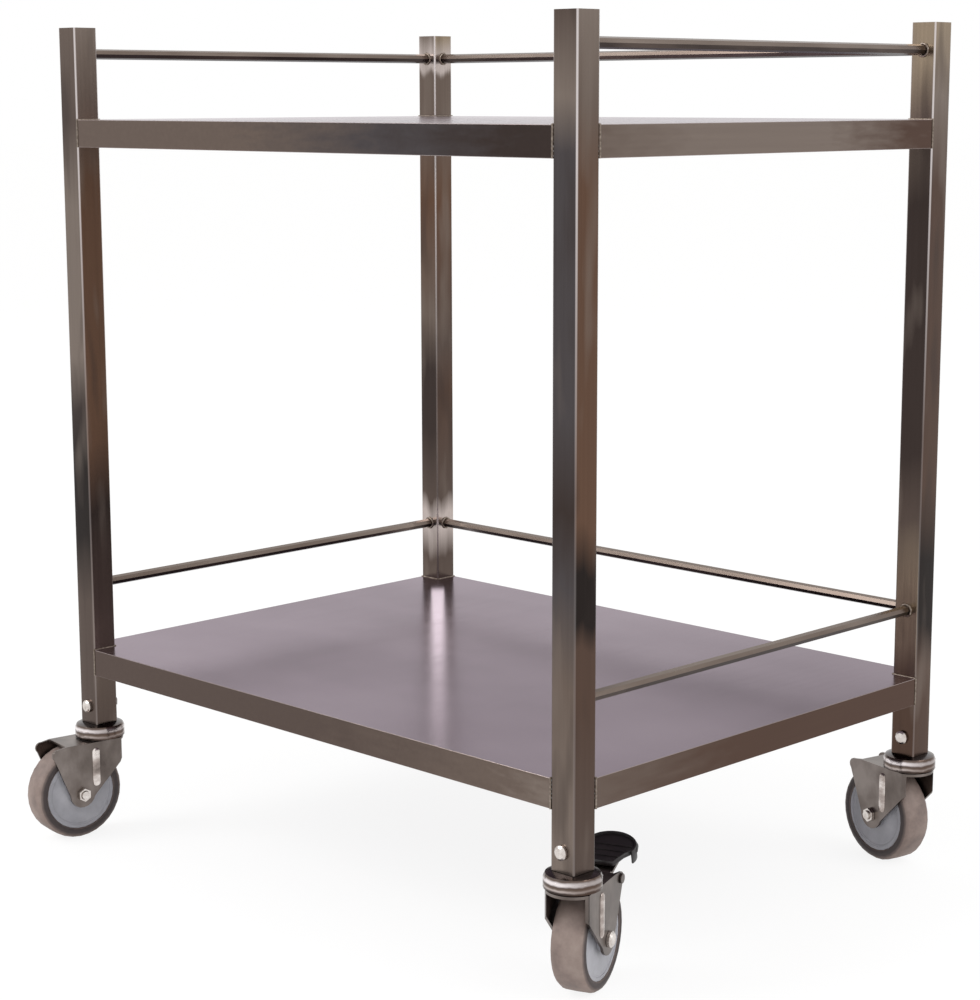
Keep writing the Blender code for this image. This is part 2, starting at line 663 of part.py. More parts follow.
def build():
    make_posts()
    make_caps()
    for level, (foot, rod_height) in LEVELS.items():
        make_tray("tray_" + level, foot)
        make_channel("tray_channel_" + level, foot)
    make_guard_rods()
    for corner, (side, depth, angle, braked) in CORNERS.items():
        make_castor(corner, side, depth, angle, braked)


build()
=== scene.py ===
# %% [markdown]
# An instrument trolley: square steel posts, two folded trays, round guard rods and swivel castors.
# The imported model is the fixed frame, in metres. This lesson gives it its finishes, rounds its
# pressed edges, and adds the pieces that are too fine for the frame.

# %% Load the frame
import json
import math

import bpy
from mathutils import Matrix, Vector


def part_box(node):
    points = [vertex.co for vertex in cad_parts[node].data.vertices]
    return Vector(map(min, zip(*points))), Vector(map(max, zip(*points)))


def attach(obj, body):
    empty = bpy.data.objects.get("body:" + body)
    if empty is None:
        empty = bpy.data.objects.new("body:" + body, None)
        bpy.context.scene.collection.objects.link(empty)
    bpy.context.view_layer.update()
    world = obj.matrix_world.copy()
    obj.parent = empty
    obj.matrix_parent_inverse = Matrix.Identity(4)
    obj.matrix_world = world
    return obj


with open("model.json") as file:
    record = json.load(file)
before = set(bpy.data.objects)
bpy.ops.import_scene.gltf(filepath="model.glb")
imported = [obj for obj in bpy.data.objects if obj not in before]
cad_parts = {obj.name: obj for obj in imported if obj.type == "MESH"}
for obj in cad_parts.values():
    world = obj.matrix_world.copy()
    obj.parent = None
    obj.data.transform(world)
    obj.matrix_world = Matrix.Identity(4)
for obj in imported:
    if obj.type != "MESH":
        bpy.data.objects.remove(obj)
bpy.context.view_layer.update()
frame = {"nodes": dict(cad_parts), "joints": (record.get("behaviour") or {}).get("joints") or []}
nodes = frame["nodes"]
joints = {joint["name"]: joint for joint in frame["joints"]}

# %% [markdown]
# The camera stands at the front right corner, a little above the trays. Its place and lens were
# worked out from the straight edges of the posts and trays, and are written here as real sizes.

# %% Camera
CAMERA_PLACE = (1.5008, -1.5189, 0.7153)
CAMERA_YAW = 44.75
CAMERA_PITCH = 9.96
CAMERA_ROLL = -0.11
LENS_PIXELS = 2297.0
PHOTO_WIDTH = 980
SENSOR = 36.0

camera_data = bpy.data.cameras.new("camera")
camera_data.sensor_fit = "HORIZONTAL"
camera_data.sensor_width = SENSOR
camera_data.lens = LENS_PIXELS / PHOTO_WIDTH * SENSOR
camera = bpy.data.objects.new("camera", camera_data)
bpy.context.scene.collection.objects.link(camera)
camera.location = CAMERA_PLACE
yaw = Matrix.Rotation(math.radians(CAMERA_YAW), 3, "Z")
pitch = Matrix.Rotation(math.radians(90 - CAMERA_PITCH), 3, "X")
roll = Matrix.Rotation(math.radians(CAMERA_ROLL), 3, "Z")
camera.rotation_euler = (yaw @ pitch @ roll).to_euler()
bpy.context.scene.camera = camera
print("lens:", round(camera_data.lens, 2), "mm")

# %% [markdown]
# The studio is a white floor under a white sky. Camera and mirror rays see plain white, so that
# the steel mirrors the same pale room, and the floor still takes the trolley's soft shadow. A
# narrow strip of light stands before the back post, and the lower tray mirrors it as a long glint.

# %% Sky, floor and lamps
SKY_LIGHT = 0.70
FLOOR_SIZE = 60
FLOOR_GLOW = 0.80
FLOOR_STRENGTH = 1.08
LAMP_TARGET = (0, 0, 0.4)
LAMP_SIZE = (1.8, 1.8)
KEY_PLACE = (-1.6, -2.4, 2.6)
KEY_POWER = 52
FILL_PLACE = (2.6, 0.6, 2.2)
FILL_POWER = 26
GLINT_PLACE = (-0.296, 0.211, 0.300)
GLINT_TARGET = (CAMERA_PLACE[0], CAMERA_PLACE[1], GLINT_PLACE[2])
GLINT_SIZE = (0.014, 0.210)
GLINT_POWER = 0.022


def reckon(tree, operation, first, second=None):
    """A math node on one or two inputs, each a socket or a plain number."""
    made = tree.nodes.new("ShaderNodeMath")
    made.operation = operation
    for value, socket in zip((first, second), made.inputs):
        if isinstance(value, float):
            socket.default_value = value
        elif value is not None:
            tree.links.new(value, socket)
    return made.outputs[0]


def build_sky():
    world = bpy.data.worlds.new("studio_sky")
    bpy.context.scene.world = world
    world.use_nodes = True
    tree = world.node_tree
    tree.nodes.clear()
    out = tree.nodes.new("ShaderNodeOutputWorld")
    mix = tree.nodes.new("ShaderNodeMixShader")
    seen = tree.nodes.new("ShaderNodeBackground")
    lit = tree.nodes.new("ShaderNodeBackground")
    path = tree.nodes.new("ShaderNodeLightPath")
    seen.inputs["Color"].default_value = (1, 1, 1, 1)
    seen.inputs["Strength"].default_value = 1.0
    lit.inputs["Color"].default_value = (1, 0.99, 0.98, 1)
    lit.inputs["Strength"].default_value = SKY_LIGHT
    direct = reckon(tree, "MAXIMUM", path.outputs["Is Camera Ray"], path.outputs["Is Glossy Ray"])
    white = reckon(tree, "MAXIMUM", direct, path.outputs["Is Transmission Ray"])
    tree.links.new(white, mix.inputs["Fac"])
    tree.links.new(lit.outputs[0], mix.inputs[1])
    tree.links.new(seen.outputs[0], mix.inputs[2])
    tree.links.new(mix.outputs[0], out.inputs["Surface"])


def build_floor():
    bpy.ops.mesh.primitive_plane_add(size=FLOOR_SIZE)
    floor = bpy.context.object
    floor.name = "floor"
    material = bpy.data.materials.new("floor_white")
    material.use_nodes = True
    tree = material.node_tree
    shader = tree.nodes["Principled BSDF"]
    shader.inputs["Base Color"].default_value = (0.92, 0.92, 0.92, 1)
    shader.inputs["Roughness"].default_value = 0.9
    glow = tree.nodes.new("ShaderNodeEmission")
    glow.inputs["Strength"].default_value = FLOOR_STRENGTH
    mix = tree.nodes.new("ShaderNodeMixShader")
    path = tree.nodes.new("ShaderNodeLightPath")
    direct = reckon(tree, "MAXIMUM", path.outputs["Is Camera Ray"], path.outputs["Is Glossy Ray"])
    tree.links.new(reckon(tree, "MULTIPLY", direct, FLOOR_GLOW), mix.inputs["Fac"])
    tree.links.new(shader.outputs[0], mix.inputs[1])
    tree.links.new(glow.outputs[0], mix.inputs[2])
    tree.links.new(mix.outputs[0], tree.nodes["Material Output"].inputs["Surface"])
    floor.data.materials.append(material)


def add_lamp(name, place, target, size, power):
    data = bpy.data.lights.new(name, "AREA")
    data.shape = "RECTANGLE"
    data.size, data.size_y = size
    data.energy = power
    lamp = bpy.data.objects.new(name, data)
    bpy.context.scene.collection.objects.link(lamp)
    lamp.location = place
    lamp.rotation_euler = (Vector(target) - Vector(place)).to_track_quat("-Z", "Y").to_euler()
    lamp.visible_camera = False


bpy.context.scene.view_settings.view_transform = "Standard"
build_sky()
build_floor()
add_lamp("key_lamp", KEY_PLACE, LAMP_TARGET, LAMP_SIZE, KEY_POWER)
add_lamp("fill_lamp", FILL_PLACE, LAMP_TARGET, LAMP_SIZE, FILL_POWER)
add_lamp("glint_lamp", GLINT_PLACE, GLINT_TARGET, GLINT_SIZE, GLINT_POWER)
print("studio ready")

# %% [markdown]
# A finish is a node tree on Object coordinates. These short helpers make the nodes that every
# finish here shares: a noise stretched along the grain, a colour ramp, and a named tint.

# %% Node helpers
# Named colours; their names are only colours. Most go into painted reflection bands and painted shade, and
# the two palest also paint the highlights on folds, corners and housing rings.
TINTS = {
    "painted_highlight_white": (236, 228, 228), "pale": (190, 178, 173), "cream": (150, 134, 115),
    "ash": (126, 114, 106), "stone": (108, 95, 87), "taupe": (90, 78, 72), "slate": (78, 73, 74),
    "clay": (99, 75, 61), "rust": (86, 68, 59), "char": (62, 53, 50), "soot": (40, 34, 32),
}


def linear(colour):
    """An 0 to 255 display colour as the linear colour that a shader takes."""
    values = []
    for part in colour:
        share = part / 255
        values.append(share / 12.92 if share <= 0.04045 else ((share + 0.055) / 1.055) ** 2.4)
    return (*values, 1.0)


def new_finish(name, roughness, metallic):
    material = bpy.data.materials.new(name)
    material.use_nodes = True
    shader = material.node_tree.nodes["Principled BSDF"]
    shader.inputs["Roughness"].default_value = roughness
    shader.inputs["Metallic"].default_value = metallic
    return material, material.node_tree, shader


def object_place(tree, scale=(1, 1, 1), location=(0, 0, 0), turn=0.0):
    coords = tree.nodes.new("ShaderNodeTexCoord")
    mapping = tree.nodes.new("ShaderNodeMapping")
    mapping.vector_type = "TEXTURE" if turn or any(location) else "POINT"
    mapping.inputs["Location"].default_value = location
    mapping.inputs["Rotation"].default_value = (0, 0, turn)
    mapping.inputs["Scale"].default_value = scale
    tree.links.new(coords.outputs["Object"], mapping.inputs["Vector"])
    return mapping.outputs["Vector"]


def noise(tree, place, detail=3.0, roughness=0.55):
    made = tree.nodes.new("ShaderNodeTexNoise")
    made.inputs["Scale"].default_value = 1.0
    made.inputs["Detail"].default_value = detail
    made.inputs["Roughness"].default_value = roughness
    tree.links.new(place, made.inputs["Vector"])
    return made.outputs["Fac"]


def span(tree, value, low, high, to_low=0.0, to_high=1.0):
    made = tree.nodes.new("ShaderNodeMapRange")
    made.inputs["From Min"].default_value = low
    made.inputs["From Max"].default_value = high
    made.inputs["To Min"].default_value = to_low
    made.inputs["To Max"].default_value = to_high
    tree.links.new(value, made.inputs["Value"])
    return made.outputs["Result"]


def ramp(tree, value, stops):
    made = tree.nodes.new("ShaderNodeValToRGB")
    points = made.color_ramp.elements
    while len(points) < len(stops):
        points.new(0.5)
    for point, (place, colour) in zip(points, stops):
        point.position = place
        point.color = linear(TINTS[colour] if isinstance(colour, str) else colour)
    tree.links.new(value, made.inputs["Fac"])
    return made.outputs["Color"]


def blend_colours(tree, factor, first, second, kind="MIX"):
    made = tree.nodes.new("ShaderNodeMix")
    made.data_type = "RGBA"
    made.blend_type = kind
    for name, value in (("Factor", factor), ("A", first), ("B", second)):
        if isinstance(value, (float, tuple)):
            made.inputs[name].default_value = value
        else:
            tree.links.new(value, made.inputs[name])
    return [slot for slot in made.outputs if slot.type == "RGBA"][0]


def add_bump(tree, shader, height, strength, depth):
    made = tree.nodes.new("ShaderNodeBump")
    made.inputs["Strength"].default_value = strength
    made.inputs["Distance"].default_value = depth
    tree.links.new(height, made.inputs["Height"])
    tree.links.new(made.outputs["Normal"], shader.inputs["Normal"])


def part_of(tree, vector, axis):
    split = tree.nodes.new("ShaderNodeSeparateXYZ")
    tree.links.new(vector, split.inputs["Vector"])
    return split.outputs[axis]


def normal_part(tree, axis):
    """How far the surface faces along one object axis, from 0 to 1."""
    coords = tree.nodes.new("ShaderNodeTexCoord")
    return reckon(tree, "ABSOLUTE", part_of(tree, coords.outputs["Normal"], axis))


def turned_share(tree, first, second):
    """One where the surface turns half way between two axes, nought where it faces either."""
    both = reckon(tree, "MULTIPLY", normal_part(tree, first), normal_part(tree, second))
    return reckon(tree, "MULTIPLY", both, 2.0)


print("tints:", ", ".join(TINTS))

# %% [markdown]
# The posts' base colour carries painted reflections: long bands that run round the post at
# certain heights, painted lighter and darker patches, and a painted highlight along each corner
# that grows brighter towards the top. Each post has its own order of painted bands on its two
# kinds of face, under a fine vertical polish grain.

# %% Post steel
POST_LOW, POST_HIGH = (Vector(corner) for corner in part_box("post_front_right"))
# Painted reflection bands by height up the post: first the Y facing face, then the X facing face.
PAINTED_REFLECTION_BANDS = {
    "front_right": ([(0, "ash"), (0.22, "stone"), (0.34, "slate"), (0.43, "char"), (0.54, "slate"),
                     (0.84, "slate"), (0.90, "ash"), (1, "taupe")],
                    [(0, "taupe"), (0.20, "rust"), (0.27, "rust"), (0.30, "soot"), (0.36, "soot"),
                     (0.42, "clay"), (0.80, "clay"), (0.90, "stone"), (1, "ash")]),
    "front_left": ([(0, "taupe"), (0.18, "taupe"), (0.28, "soot"), (0.40, "soot"), (0.47, "char"),
                    (0.54, "ash"), (0.75, "ash"), (0.87, "taupe"), (1, "stone")],
                   [(0, "taupe"), (0.15, "stone"), (0.25, "taupe"), (0.32, "char"), (0.42, "clay"),
                    (0.78, "clay"), (0.90, "stone"), (1, "ash")]),
    "back_right": ([(0, "rust"), (0.10, "rust"), (0.16, "cream"), (0.24, "cream"), (0.33, "taupe"),
                    (0.42, "char"), (0.76, "char"), (0.87, "stone"), (0.95, "cream"), (1, "cream")],
                   [(0, "rust"), (0.13, "rust"), (0.19, "soot"), (0.28, "soot"), (0.38, "rust"),
                    (0.78, "rust"), (0.90, "ash"), (1, "cream")]),
    "back_left": ([(0, "stone"), (0.15, "taupe"), (0.20, "pale"), (0.22, "pale"), (0.25, "taupe"),
                   (0.36, "char"), (0.46, "char"), (0.55, "stone"), (0.74, "clay"), (0.88, "stone"),
                   (0.94, "stone"), (0.95, "pale"), (0.97, "pale"), (1, "ash")],
                  [(0, "stone"), (0.15, "taupe"), (0.20, "pale"), (0.22, "pale"), (0.25, "taupe"),
                   (0.42, "rust"), (0.50, "taupe"), (0.74, "clay"), (0.88, "stone"), (0.94, "stone"),
                   (0.95, "pale"), (0.97, "pale"), (1, "cream")]),
}


def post_steel(corner):
    front_bands, side_bands = PAINTED_REFLECTION_BANDS[corner]
    material, tree, shader = new_finish("post_steel_" + corner, 0.27, 1.0)
    wobble = noise(tree, object_place(tree, (60, 60, 3)))
    height = span(tree, part_of(tree, object_place(tree), "Z"), POST_LOW.z, POST_HIGH.z)
    moved = reckon(tree, "ADD", height, span(tree, wobble, 0.3, 0.7, -0.012, 0.012))
    front = ramp(tree, moved, front_bands)
    side = ramp(tree, moved, side_bands)
    facing = span(tree, normal_part(tree, "X"), 0.35, 0.65)
    base = blend_colours(tree, facing, front, side)
    # Painted reflection patches, lighter in the ash tint and darker in the char tint.
    painted_patch = noise(tree, object_place(tree, (45, 45, 9)), 2.0, 0.4)
    base = blend_colours(tree, span(tree, painted_patch, 0.56, 0.72, 0.0, 0.45), base, linear(TINTS["ash"]))
    base = blend_colours(tree, span(tree, painted_patch, 0.44, 0.30, 0.0, 0.45), base, linear(TINTS["char"]))
    # Painted highlight along each rounded corner, fading towards the bottom of the post.
    edge = span(tree, turned_share(tree, "X", "Y"), 0.35, 0.9, 0.0, 0.75)
    edge = reckon(tree, "MULTIPLY", edge, span(tree, height, 0.45, 0.85, 0.15, 1.0))
    base = blend_colours(tree, edge, base, linear(TINTS["painted_highlight_white"]))
    grain = noise(tree, object_place(tree, (420, 420, 4)), 4.0)
    streak = ramp(tree, grain, [(0.25, (224, 222, 220)), (0.75, (255, 255, 255))])
    tree.links.new(blend_colours(tree, 0.5, base, streak, "MULTIPLY"), shader.inputs["Base Color"])
    tree.links.new(span(tree, grain, 0.2, 0.8, 0.18, 0.28), shader.inputs["Roughness"])
    add_bump(tree, shader, grain, 0.04, 0.0001)
    return material


post_finishes = {corner: post_steel(corner) for corner in PAINTED_REFLECTION_BANDS}
print("post finishes:", len(post_finishes))

# %% [markdown]
# The trays are the same steel with a flatter, milkier polish. Their tops carry a painted
# reflection of the room as a lilac grey, with painted shade that darkens towards the +X end.
# Their turned-down rims carry a painted reflection of the floor, each in its own tone along its
# length, so the front and side rims have a ramp each, and each fold has a painted highlight.

# %% Tray steel
TRAY_HALF_LENGTH, TRAY_HALF_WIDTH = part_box("tray_lower")[1][:2]


def tray_steel(name, top_stops, front_stops, side_stops):
    material, tree, shader = new_finish(name, 0.30, 1.0)
    shader.inputs["Specular Tint"].default_value = (0.84, 0.80, 0.82, 1)
    cloud = noise(tree, object_place(tree, (3.2, 4.6, 4)), 3.0, 0.5)
    fine = noise(tree, object_place(tree, (260, 5, 260)), 4.0)
    wobble = noise(tree, object_place(tree, (30, 30, 120)), 3.0)
    shift = span(tree, wobble, 0.3, 0.7, -0.06, 0.06)
    rims = []
    # Painted reflection of the floor on the front and side rims, each a ramp along its length.
    for axis, half, stops in (("X", TRAY_HALF_LENGTH, front_stops), ("Y", TRAY_HALF_WIDTH, side_stops)):
        share = span(tree, part_of(tree, object_place(tree), axis), -half, half)
        rims.append(ramp(tree, reckon(tree, "ADD", share, shift), stops))
    rim = blend_colours(tree, span(tree, normal_part(tree, "X"), 0.4, 0.6), *rims)
    # Painted reflection of the room on the top, with painted shade darker towards the +X end.
    top = ramp(tree, cloud, top_stops)
    along = span(tree, part_of(tree, object_place(tree), "X"), -TRAY_HALF_LENGTH, TRAY_HALF_LENGTH)
    shade = ramp(tree, along, [(0.2, (255, 255, 255)), (0.75, (220, 218, 220))])
    top = blend_colours(tree, 1.0, top, shade, "MULTIPLY")
    facing = span(tree, normal_part(tree, "Z"), 0.45, 0.75)
    base = blend_colours(tree, facing, rim, top)
    # Painted highlight along each rounded fold between rim and top.
    for axis in ("X", "Y"):
        painted_fold_highlight = span(tree, turned_share(tree, axis, "Z"), 0.45, 0.95, 0.0, 0.7)
        base = blend_colours(tree, painted_fold_highlight, base, linear(TINTS["pale"]))
    streak = ramp(tree, fine, [(0.3, (240, 239, 240)), (0.7, (255, 255, 255))])
    tree.links.new(blend_colours(tree, 0.6, base, streak, "MULTIPLY"), shader.inputs["Base Color"])
    tree.links.new(span(tree, fine, 0.25, 0.75, 0.17, 0.25), shader.inputs["Roughness"])
    add_bump(tree, shader, fine, 0.02, 0.0001)
    return material


lower_steel = tray_steel("tray_steel_lower",
                         [(0.35, (127, 113, 124)), (0.5, (140, 126, 137)), (0.68, (152, 139, 149))],
                         [(0.0, "taupe"), (0.55, "taupe"), (0.88, "stone"), (1, "ash")],
                         [(0.0, "stone"), (0.4, "rust"), (1, "rust")])
upper_steel = tray_steel("tray_steel_upper",
                         [(0.35, (172, 163, 169)), (0.6, (199, 191, 197))],
                         [(0.0, "stone"), (0.4, "stone"), (0.68, "slate"), (0.9, "char"), (1, "char")],
                         [(0.0, "stone"), (0.3, "ash"), (0.65, "ash"), (0.9, "rust"), (1, "rust")])
print("tray finishes:", lower_steel.name, upper_steel.name)

# %% [markdown]
# Rods, channels and the castors' plated pressings need quieter versions of the same idea: a base
# colour broken up by a noise along the piece, and a roughness that varies with it. A rod has painted
# reflection above and painted shade below, round its section; a castor housing has painted
# highlight and shade rings by height; the fork ribs are painted lighter as a highlight.

# %% Rod steel and plating


def plain_steel(name, stops, stretch, rough_low, rough_high):
    material, tree, shader = new_finish(name, rough_low, 1.0)
    cloud = noise(tree, object_place(tree, stretch), 4.0)
    tree.links.new(ramp(tree, cloud, stops), shader.inputs["Base Color"])
    tree.links.new(span(tree, cloud, 0.25, 0.75, rough_low, rough_high), shader.inputs["Roughness"])
    fine = noise(tree, object_place(tree, (900, 900, 900)), 2.0)
    add_bump(tree, shader, fine, 0.04, 0.0001)
    return material


def rod_finish():
    """Round bar: painted reflection on its upper side, painted shade on its lower side."""
    material, tree, shader = new_finish("rod_steel", 0.24, 1.0)
    coords = tree.nodes.new("ShaderNodeTexCoord")
    cloud = noise(tree, object_place(tree, (9, 9, 60)), 4.0)
    height = span(tree, part_of(tree, coords.outputs["Normal"], "Z"), -1.0, 1.0)
    moved = reckon(tree, "ADD", height, span(tree, cloud, 0.3, 0.7, -0.12, 0.12))
    # Painted shade on the lower side of the round, painted reflection on the upper side.
    painted_reflection_and_shade = [(0.0, "slate"), (0.30, "char"), (0.45, "taupe"), (0.60, "stone"), (0.80, "ash"), (1.0, "ash")]
    tree.links.new(ramp(tree, moved, painted_reflection_and_shade), shader.inputs["Base Color"])
    tree.links.new(span(tree, cloud, 0.25, 0.75, 0.20, 0.32), shader.inputs["Roughness"])
    fine = noise(tree, object_place(tree, (900, 900, 900)), 2.0)
    add_bump(tree, shader, fine, 0.03, 0.0001)
    return material


HOUSING_GAP = 0.0015
HOUSING_HEIGHT = 0.0135
HOUSING_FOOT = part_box("fork_front_right")[1][2] + HOUSING_GAP
# Painted highlight and shade rings up the housing, from its foot.
HOUSING_PAINTED_RINGS = [(0.0, "char"), (0.08, "char"), (0.20, "pale"), (0.32, "stone"), (0.44, "taupe"),
                 (0.56, "painted_highlight_white"), (0.68, "painted_highlight_white"), (0.80, "stone"), (1.0, "slate")]


def housing_finish():
    """Turned housing: painted highlight and shade rings by height, and painted shade on its left and right
    flanks.
    """
    material, tree, shader = new_finish("housing_plating", 0.2, 1.0)
    cloud = noise(tree, object_place(tree, (60, 60, 60)), 3.0)
    height = part_of(tree, object_place(tree), "Z")
    share = span(tree, height, HOUSING_FOOT, HOUSING_FOOT + HOUSING_HEIGHT)
    moved = reckon(tree, "ADD", share, span(tree, cloud, 0.3, 0.7, -0.05, 0.05))
    rings = ramp(tree, moved, HOUSING_PAINTED_RINGS)
    # Painted shade on the housing's left and right flanks.
    dark = span(tree, normal_part(tree, "X"), 0.35, 0.95, 0.0, 0.6)
    tree.links.new(blend_colours(tree, dark, rings, linear(TINTS["rust"])), shader.inputs["Base Color"])
    tree.links.new(span(tree, cloud, 0.25, 0.75, 0.14, 0.26), shader.inputs["Roughness"])
    fine = noise(tree, object_place(tree, (900, 900, 900)), 2.0)
    add_bump(tree, shader, fine, 0.04, 0.0001)
    return material


rod_steel = rod_finish()
housing_plating = housing_finish()
# Painted highlight: the ribs' plating is painted far lighter than the fork's plating.
rib_painted_highlight = plain_steel("bright_plating",
                          [(0.3, (122, 112, 107)), (0.5, (172, 160, 154)), (0.66, (232, 224, 219))],
                          (45, 45, 70), 0.14, 0.26)
fork_plating = plain_steel("fork_plating",
                           [(0.3, (84, 76, 72)), (0.5, (112, 103, 98)), (0.7, (140, 131, 126))],
                           (30, 30, 22), 0.24, 0.38)
under_steel = plain_steel("under_steel", [(0.3, (96, 88, 86)), (0.7, (130, 122, 120))],
                          (12, 30, 30), 0.30, 0.42)
weld_steel = plain_steel("weld_steel",
                         [(0.3, (96, 84, 74)), (0.5, (130, 118, 108)), (0.7, (160, 148, 138))],
                         (500, 500, 500), 0.26, 0.42)
bolt_plating = plain_steel("bolt_plating", [(0.3, (190, 180, 174)), (0.7, (232, 226, 221))],
                           (200, 200, 200), 0.20, 0.34)
print("metal finishes ready")

# %% [markdown]
# Plastic and rubber are not metallic. Rubber carries road dust, so its colour and roughness vary
# in patches, and the tyre's side is a darker band than its tread. The band follows the distance
# from the wheel's middle plane, read in the wheel's own axes by a Mapping node.

# %% Rubber and plastic


def castor_frame(corner):
    """Swivel place, wheel centre, and the angle at which the wheel trails behind the swivel."""
    swivel = Vector(joints["swivel_turn_" + corner]["pos_m"])
    wheel = Vector(joints["wheel_spin_" + corner]["pos_m"])
    return swivel, wheel, math.atan2(wheel.y - swivel.y, wheel.x - swivel.x)


CORNERS = ("front_left", "front_right", "back_left", "back_right")
CASTORS = {corner: castor_frame(corner) for corner in CORNERS}
FLANK_START = 0.0133
FLANK_FULL = 0.0146


def tyre_rubber(corner):
    _, wheel, turn = CASTORS[corner]
    material, tree, shader = new_finish("tyre_rubber_" + corner, 0.62, 0.0)
    place = object_place(tree, location=tuple(wheel), turn=turn)
    side = reckon(tree, "ABSOLUTE", part_of(tree, place, "Y"))
    dust = noise(tree, object_place(tree, (55, 55, 55)), 5.0, 0.6)
    tread = ramp(tree, dust, [(0.3, (118, 103, 97)), (0.5, (142, 125, 118)), (0.72, (160, 144, 136))])
    flank = ramp(tree, dust, [(0.3, (52, 44, 44)), (0.7, (76, 66, 65))])
    edge = span(tree, side, FLANK_START, FLANK_FULL)
    tree.links.new(blend_colours(tree, edge, tread, flank), shader.inputs["Base Color"])
    tree.links.new(span(tree, dust, 0.25, 0.75, 0.50, 0.78), shader.inputs["Roughness"])
    fine = noise(tree, object_place(tree, (700, 700, 700)), 2.0)
    add_bump(tree, shader, fine, 0.12, 0.0003)
    return material


def plastic(name, stops, rough_low, rough_high, grain):
    material, tree, shader = new_finish(name, rough_low, 0.0)
    cloud = noise(tree, object_place(tree, (45, 45, 45)), 4.0)
    tree.links.new(ramp(tree, cloud, stops), shader.inputs["Base Color"])
    tree.links.new(span(tree, cloud, 0.25, 0.75, rough_low, rough_high), shader.inputs["Roughness"])
    fine = noise(tree, object_place(tree, (grain, grain, grain)), 2.0)
    add_bump(tree, shader, fine, 0.08, 0.0002)
    return material


tyre_finishes = {corner: tyre_rubber(corner) for corner in CORNERS}
hub_plastic = plastic("hub_plastic",
                      [(0.3, (160, 160, 166)), (0.5, (174, 174, 181)), (0.7, (188, 188, 194))],
                      0.38, 0.52, 800)
pedal_plastic = plastic("pedal_plastic", [(0.3, (26, 22, 23)), (0.7, (44, 38, 39))], 0.34, 0.5, 1200)
print("castors:", ", ".join(CASTORS))

# %% [markdown]
# The frame's solids are triangles with hard corners. Live modifiers on them weld the triangles,
# join flat ones, and round the pressed edges, so that each fold catches a thin line of light.

# %% Rounded edges on the frame's solids
WELD_REACH = 0.00001
FLAT_ANGLE = math.radians(1)
FOLD_ANGLE = math.radians(50)
CREASE_ANGLE = math.radians(38)
TRAY_FOLD = 0.0011


def dress(name, material, edge=0.0, segments=2):
    node = nodes[name]
    if not node.material_slots:
        node.data.materials.append(material)
    for slot in node.material_slots:
        slot.material = material
    node.data.shade_smooth()
    weld = node.modifiers.new("weld", "WELD")
    weld.merge_threshold = WELD_REACH
    if edge:
        flat = node.modifiers.new("flat", "DECIMATE")
        flat.decimate_type = "DISSOLVE"
        flat.angle_limit = FLAT_ANGLE
        bevel = node.modifiers.new("edge", "BEVEL")
        bevel.width = edge
        bevel.segments = segments
        bevel.limit_method = "ANGLE"
        bevel.angle_limit = FOLD_ANGLE
    split = node.modifiers.new("crease", "EDGE_SPLIT")
    split.split_angle = CREASE_ANGLE
    if edge or name.startswith("post_"):
        even = node.modifiers.new("even", "WEIGHTED_NORMAL")
        even.keep_sharp = True


for corner in CORNERS:
    dress("post_" + corner, post_finishes[corner])
    dress("post_cap_" + corner, post_finishes[corner], 0.0006)
    dress("castor_stem_" + corner, housing_plating)
    dress("stem_bolt_" + corner, bolt_plating)
    dress("stem_nut_" + corner, fork_plating, 0.0004)
    dress("fork_" + corner, fork_plating, 0.0008)
    dress("ball_race_" + corner, under_steel)
    dress("axle_bolt_" + corner, bolt_plating)
    dress("axle_nut_" + corner, bolt_plating, 0.0004)
    dress("tyre_" + corner, tyre_finishes[corner])
    dress("hub_" + corner, hub_plastic)
for name in nodes:
    if name.startswith("guard_rod"):
        dress(name, rod_steel)
    if name.startswith("tray_channel"):
        dress(name, under_steel, 0.0008)
    if name.startswith("brake_pedal"):
        dress(name, pedal_plastic)
    if name.startswith("brake_lever") or name.startswith("brake_pin"):
        dress(name, fork_plating, 0.0003)
dress("tray_lower", lower_steel, TRAY_FOLD, 3)
dress("tray_upper", upper_steel, TRAY_FOLD, 3)
print("dressed nodes:", sum(1 for node in nodes.values() if node.modifiers))

# %% [markdown]
# New pieces start as a primitive, are shaped in edit mode, and end with their place in the mesh.
# These helpers deselect first, and give each finished piece its body, slot and finish.

# %% Modelling helpers
SIDES = ((1, "left"), (-1, "right"))
BRAKED = ("front_right", "back_left")
PEDAL_SLOPE = 22.0


def clear_selection():
    if bpy.context.object and bpy.context.object.mode != "OBJECT":
        bpy.ops.object.mode_set(mode="OBJECT")
    bpy.ops.object.select_all(action="DESELECT")


def settle(piece, name, body, material, smooth=35):
    """Applies a piece's modifiers and place, then names it and hands it to its body."""
    clear_selection()
    piece.select_set(True)
    bpy.context.view_layer.objects.active = piece
    for step in list(piece.modifiers):
        bpy.ops.object.modifier_apply(modifier=step.name)
    bpy.ops.object.transform_apply(location=True, rotation=True, scale=True)
    bpy.ops.object.shade_smooth_by_angle(angle=math.radians(smooth))
    piece.name = name
    piece.data.name = name
    piece.data.materials.clear()
    piece.data.materials.append(material)
    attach(piece, body)
    return piece


def copy_to(piece, matrix):
    """A copy with its own mesh, placed by a matrix."""
    mesh = piece.data.copy()
    mesh.transform(matrix)
    made = bpy.data.objects.new("copy", mesh)
    bpy.context.scene.collection.objects.link(made)
    return made


def castor_matrix(corner):
    """From a castor's own axes (trail +X, axle +Y, floor at 0) to the frame."""
    swivel, _, turn = CASTORS[corner]
    return Matrix.Translation((swivel.x, swivel.y, 0)) @ Matrix.Rotation(turn, 4, "Z")


